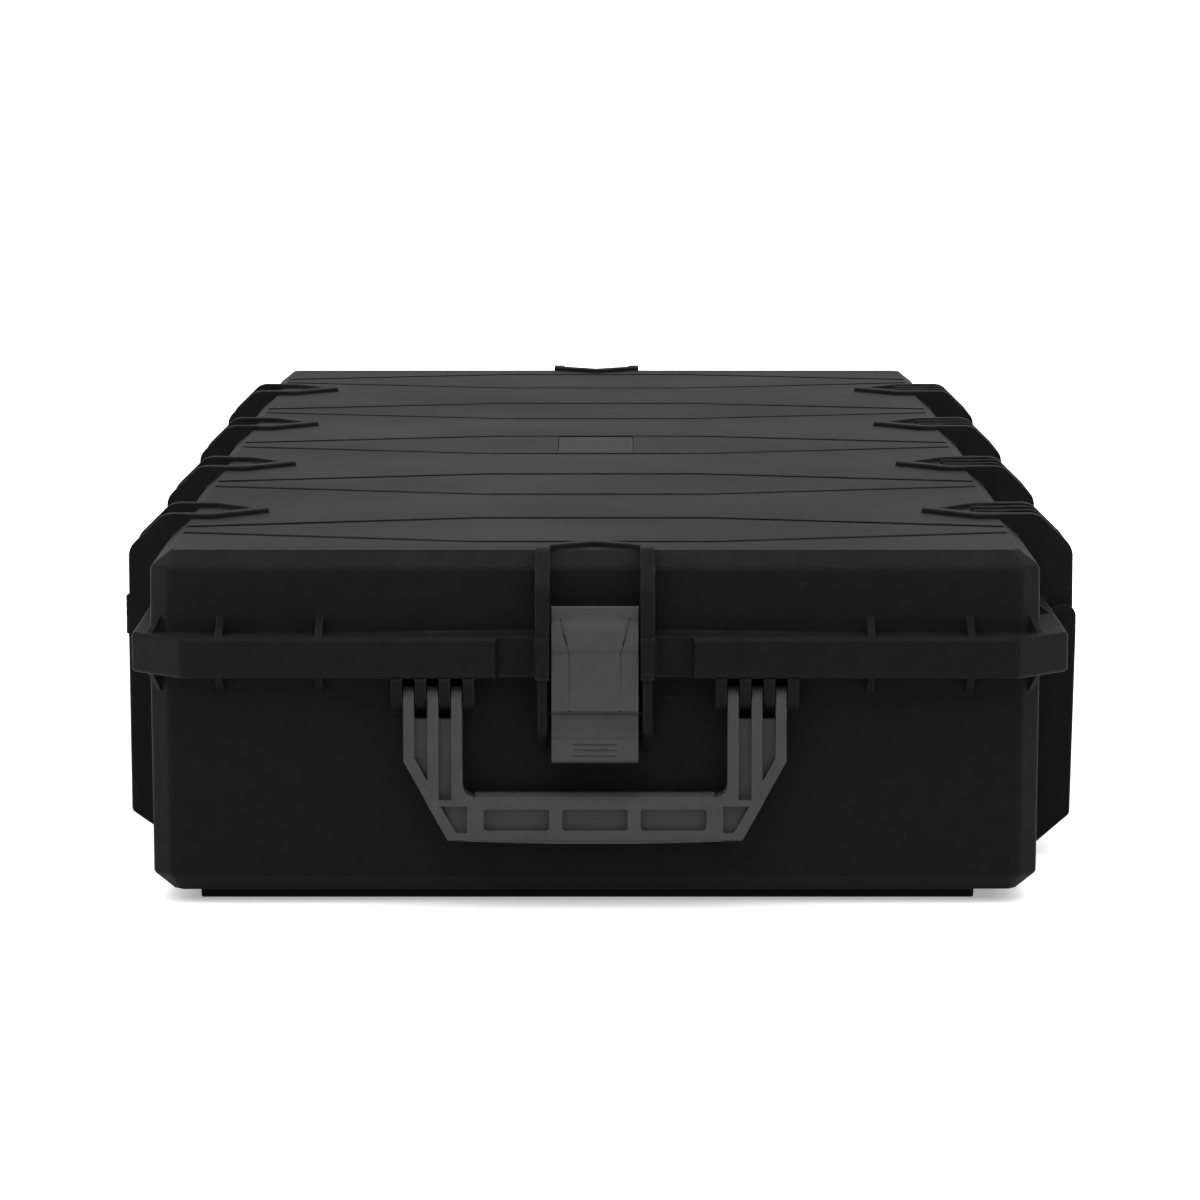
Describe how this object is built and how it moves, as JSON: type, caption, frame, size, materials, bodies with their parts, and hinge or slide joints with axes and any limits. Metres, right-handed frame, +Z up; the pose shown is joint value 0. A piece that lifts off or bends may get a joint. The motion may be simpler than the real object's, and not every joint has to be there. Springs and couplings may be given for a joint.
{
  "type": "transport case",
  "caption": "Long flat hard-shell transport case with a ribbed hinged lid, draw latches on toggle links, and a fold-down carrying handle at each end.",
  "frame": {"origin": "on the floor under the middle of the case, on the middle foot rail", "axes": "+Z up, +Y along the case towards the rear end, +X towards the hinge side; the front end faces -Y"},
  "size_m": [0.4906, 1.11, 0.1787],
  "materials": {
    "shell_black": "black moulded polypropylene, fine matt grain",
    "fitting_grey": "dark grey moulded nylon, satin",
    "link_black": "black moulded nylon, satin",
    "label_black": "bare black plastic plate, matt",
    "seal_rubber": "solid rubber cord, matt",
    "pin_steel": "drawn stainless steel rod"
  },
  "bodies": {
    "base": {"base_shell": "shell_black", "hinge_pins": "pin_steel", "latch_pivot_pins": "pin_steel", "handle_pins_front": "pin_steel", "handle_pins_rear": "pin_steel"},
    "lid": {"lid_shell": "shell_black", "lid_seal": "seal_rubber", "lid_label_plate": "label_black"},
    "front_handle": {"handle_front": "fitting_grey"},
    "rear_handle": {"handle_rear": "fitting_grey"},
    "toggle_front": {"toggle_link_front": "link_black", "toggle_pin_front": "pin_steel"},
    "latch_front": {"latch_body_front": "fitting_grey"},
    "toggle_rear": {"toggle_link_rear": "link_black", "toggle_pin_rear": "pin_steel"},
    "latch_rear": {"latch_body_rear": "fitting_grey"},
    "toggle_side_1": {"toggle_link_side_1": "link_black", "toggle_pin_side_1": "pin_steel"},
    "latch_side_1": {"latch_body_side_1": "fitting_grey"},
    "toggle_side_2": {"toggle_link_side_2": "link_black", "toggle_pin_side_2": "pin_steel"},
    "latch_side_2": {"latch_body_side_2": "fitting_grey"},
    "toggle_side_3": {"toggle_link_side_3": "link_black", "toggle_pin_side_3": "pin_steel"},
    "latch_side_3": {"latch_body_side_3": "fitting_grey"},
    "toggle_side_4": {"toggle_link_side_4": "link_black", "toggle_pin_side_4": "pin_steel"},
    "latch_side_4": {"latch_body_side_4": "fitting_grey"}
  },
  "joints": [
    {"name": "lid_hinge", "type": "hinge", "parent": "base", "child": "lid", "pos_m": [0.2415, 0, 0.1255], "axis": [0, 1, 0], "range_deg": [0, 105]},
    {"name": "front_handle_hinge", "type": "hinge", "parent": "base", "child": "front_handle", "pos_m": [0, -0.542, 0.1053], "axis": [-1, 0, 0], "range_deg": [0, 90]},
    {"name": "rear_handle_hinge", "type": "hinge", "parent": "base", "child": "rear_handle", "pos_m": [0, 0.542, 0.1053], "axis": [1, 0, 0], "range_deg": [0, 90]},
    {"name": "toggle_front_pivot", "type": "hinge", "parent": "base", "child": "toggle_front", "pos_m": [0, -0.5415, 0.0976], "axis": [-1, 0, 0], "range_deg": [0, 110]},
    {"name": "latch_front_swing", "type": "hinge", "parent": "toggle_front", "child": "latch_front", "pos_m": [0, -0.54028, 0.09071], "axis": [-1, 0, 0], "range_deg": [-133, 0]},
    {"name": "toggle_rear_pivot", "type": "hinge", "parent": "base", "child": "toggle_rear", "pos_m": [0, 0.5415, 0.0976], "axis": [1, 0, 0], "range_deg": [0, 110]},
    {"name": "latch_rear_swing", "type": "hinge", "parent": "toggle_rear", "child": "latch_rear", "pos_m": [0, 0.54028, 0.09071], "axis": [1, 0, 0], "range_deg": [-133, 0]},
    {"name": "toggle_side_1_pivot", "type": "hinge", "parent": "base", "child": "toggle_side_1", "pos_m": [-0.229, -0.3576, 0.0976], "axis": [0, 1, 0], "range_deg": [0, 110]},
    {"name": "latch_side_1_swing", "type": "hinge", "parent": "toggle_side_1", "child": "latch_side_1", "pos_m": [-0.22778, -0.3576, 0.09071], "axis": [0, 1, 0], "range_deg": [-133, 0]},
    {"name": "toggle_side_2_pivot", "type": "hinge", "parent": "base", "child": "toggle_side_2", "pos_m": [-0.229, -0.1192, 0.0976], "axis": [0, 1, 0], "range_deg": [0, 110]},
    {"name": "latch_side_2_swing", "type": "hinge", "parent": "toggle_side_2", "child": "latch_side_2", "pos_m": [-0.22778, -0.1192, 0.09071], "axis": [0, 1, 0], "range_deg": [-133, 0]},
    {"name": "toggle_side_3_pivot", "type": "hinge", "parent": "base", "child": "toggle_side_3", "pos_m": [-0.229, 0.1192, 0.0976], "axis": [0, 1, 0], "range_deg": [0, 110]},
    {"name": "latch_side_3_swing", "type": "hinge", "parent": "toggle_side_3", "child": "latch_side_3", "pos_m": [-0.22778, 0.1192, 0.09071], "axis": [0, 1, 0], "range_deg": [-133, 0]},
    {"name": "toggle_side_4_pivot", "type": "hinge", "parent": "base", "child": "toggle_side_4", "pos_m": [-0.229, 0.3576, 0.0976], "axis": [0, 1, 0], "range_deg": [0, 110]},
    {"name": "latch_side_4_swing", "type": "hinge", "parent": "toggle_side_4", "child": "latch_side_4", "pos_m": [-0.22778, 0.3576, 0.09071], "axis": [0, 1, 0], "range_deg": [-133, 0]}
  ],
  "couplings": [
    {"joint": "latch_front_swing", "follows": "toggle_front_pivot", "ratio": -1.2},
    {"joint": "latch_rear_swing", "follows": "toggle_rear_pivot", "ratio": -1.2},
    {"joint": "latch_side_1_swing", "follows": "toggle_side_1_pivot", "ratio": -1.2},
    {"joint": "latch_side_2_swing", "follows": "toggle_side_2_pivot", "ratio": -1.2},
    {"joint": "latch_side_3_swing", "follows": "toggle_side_3_pivot", "ratio": -1.2},
    {"joint": "latch_side_4_swing", "follows": "toggle_side_4_pivot", "ratio": -1.2}
  ]
}
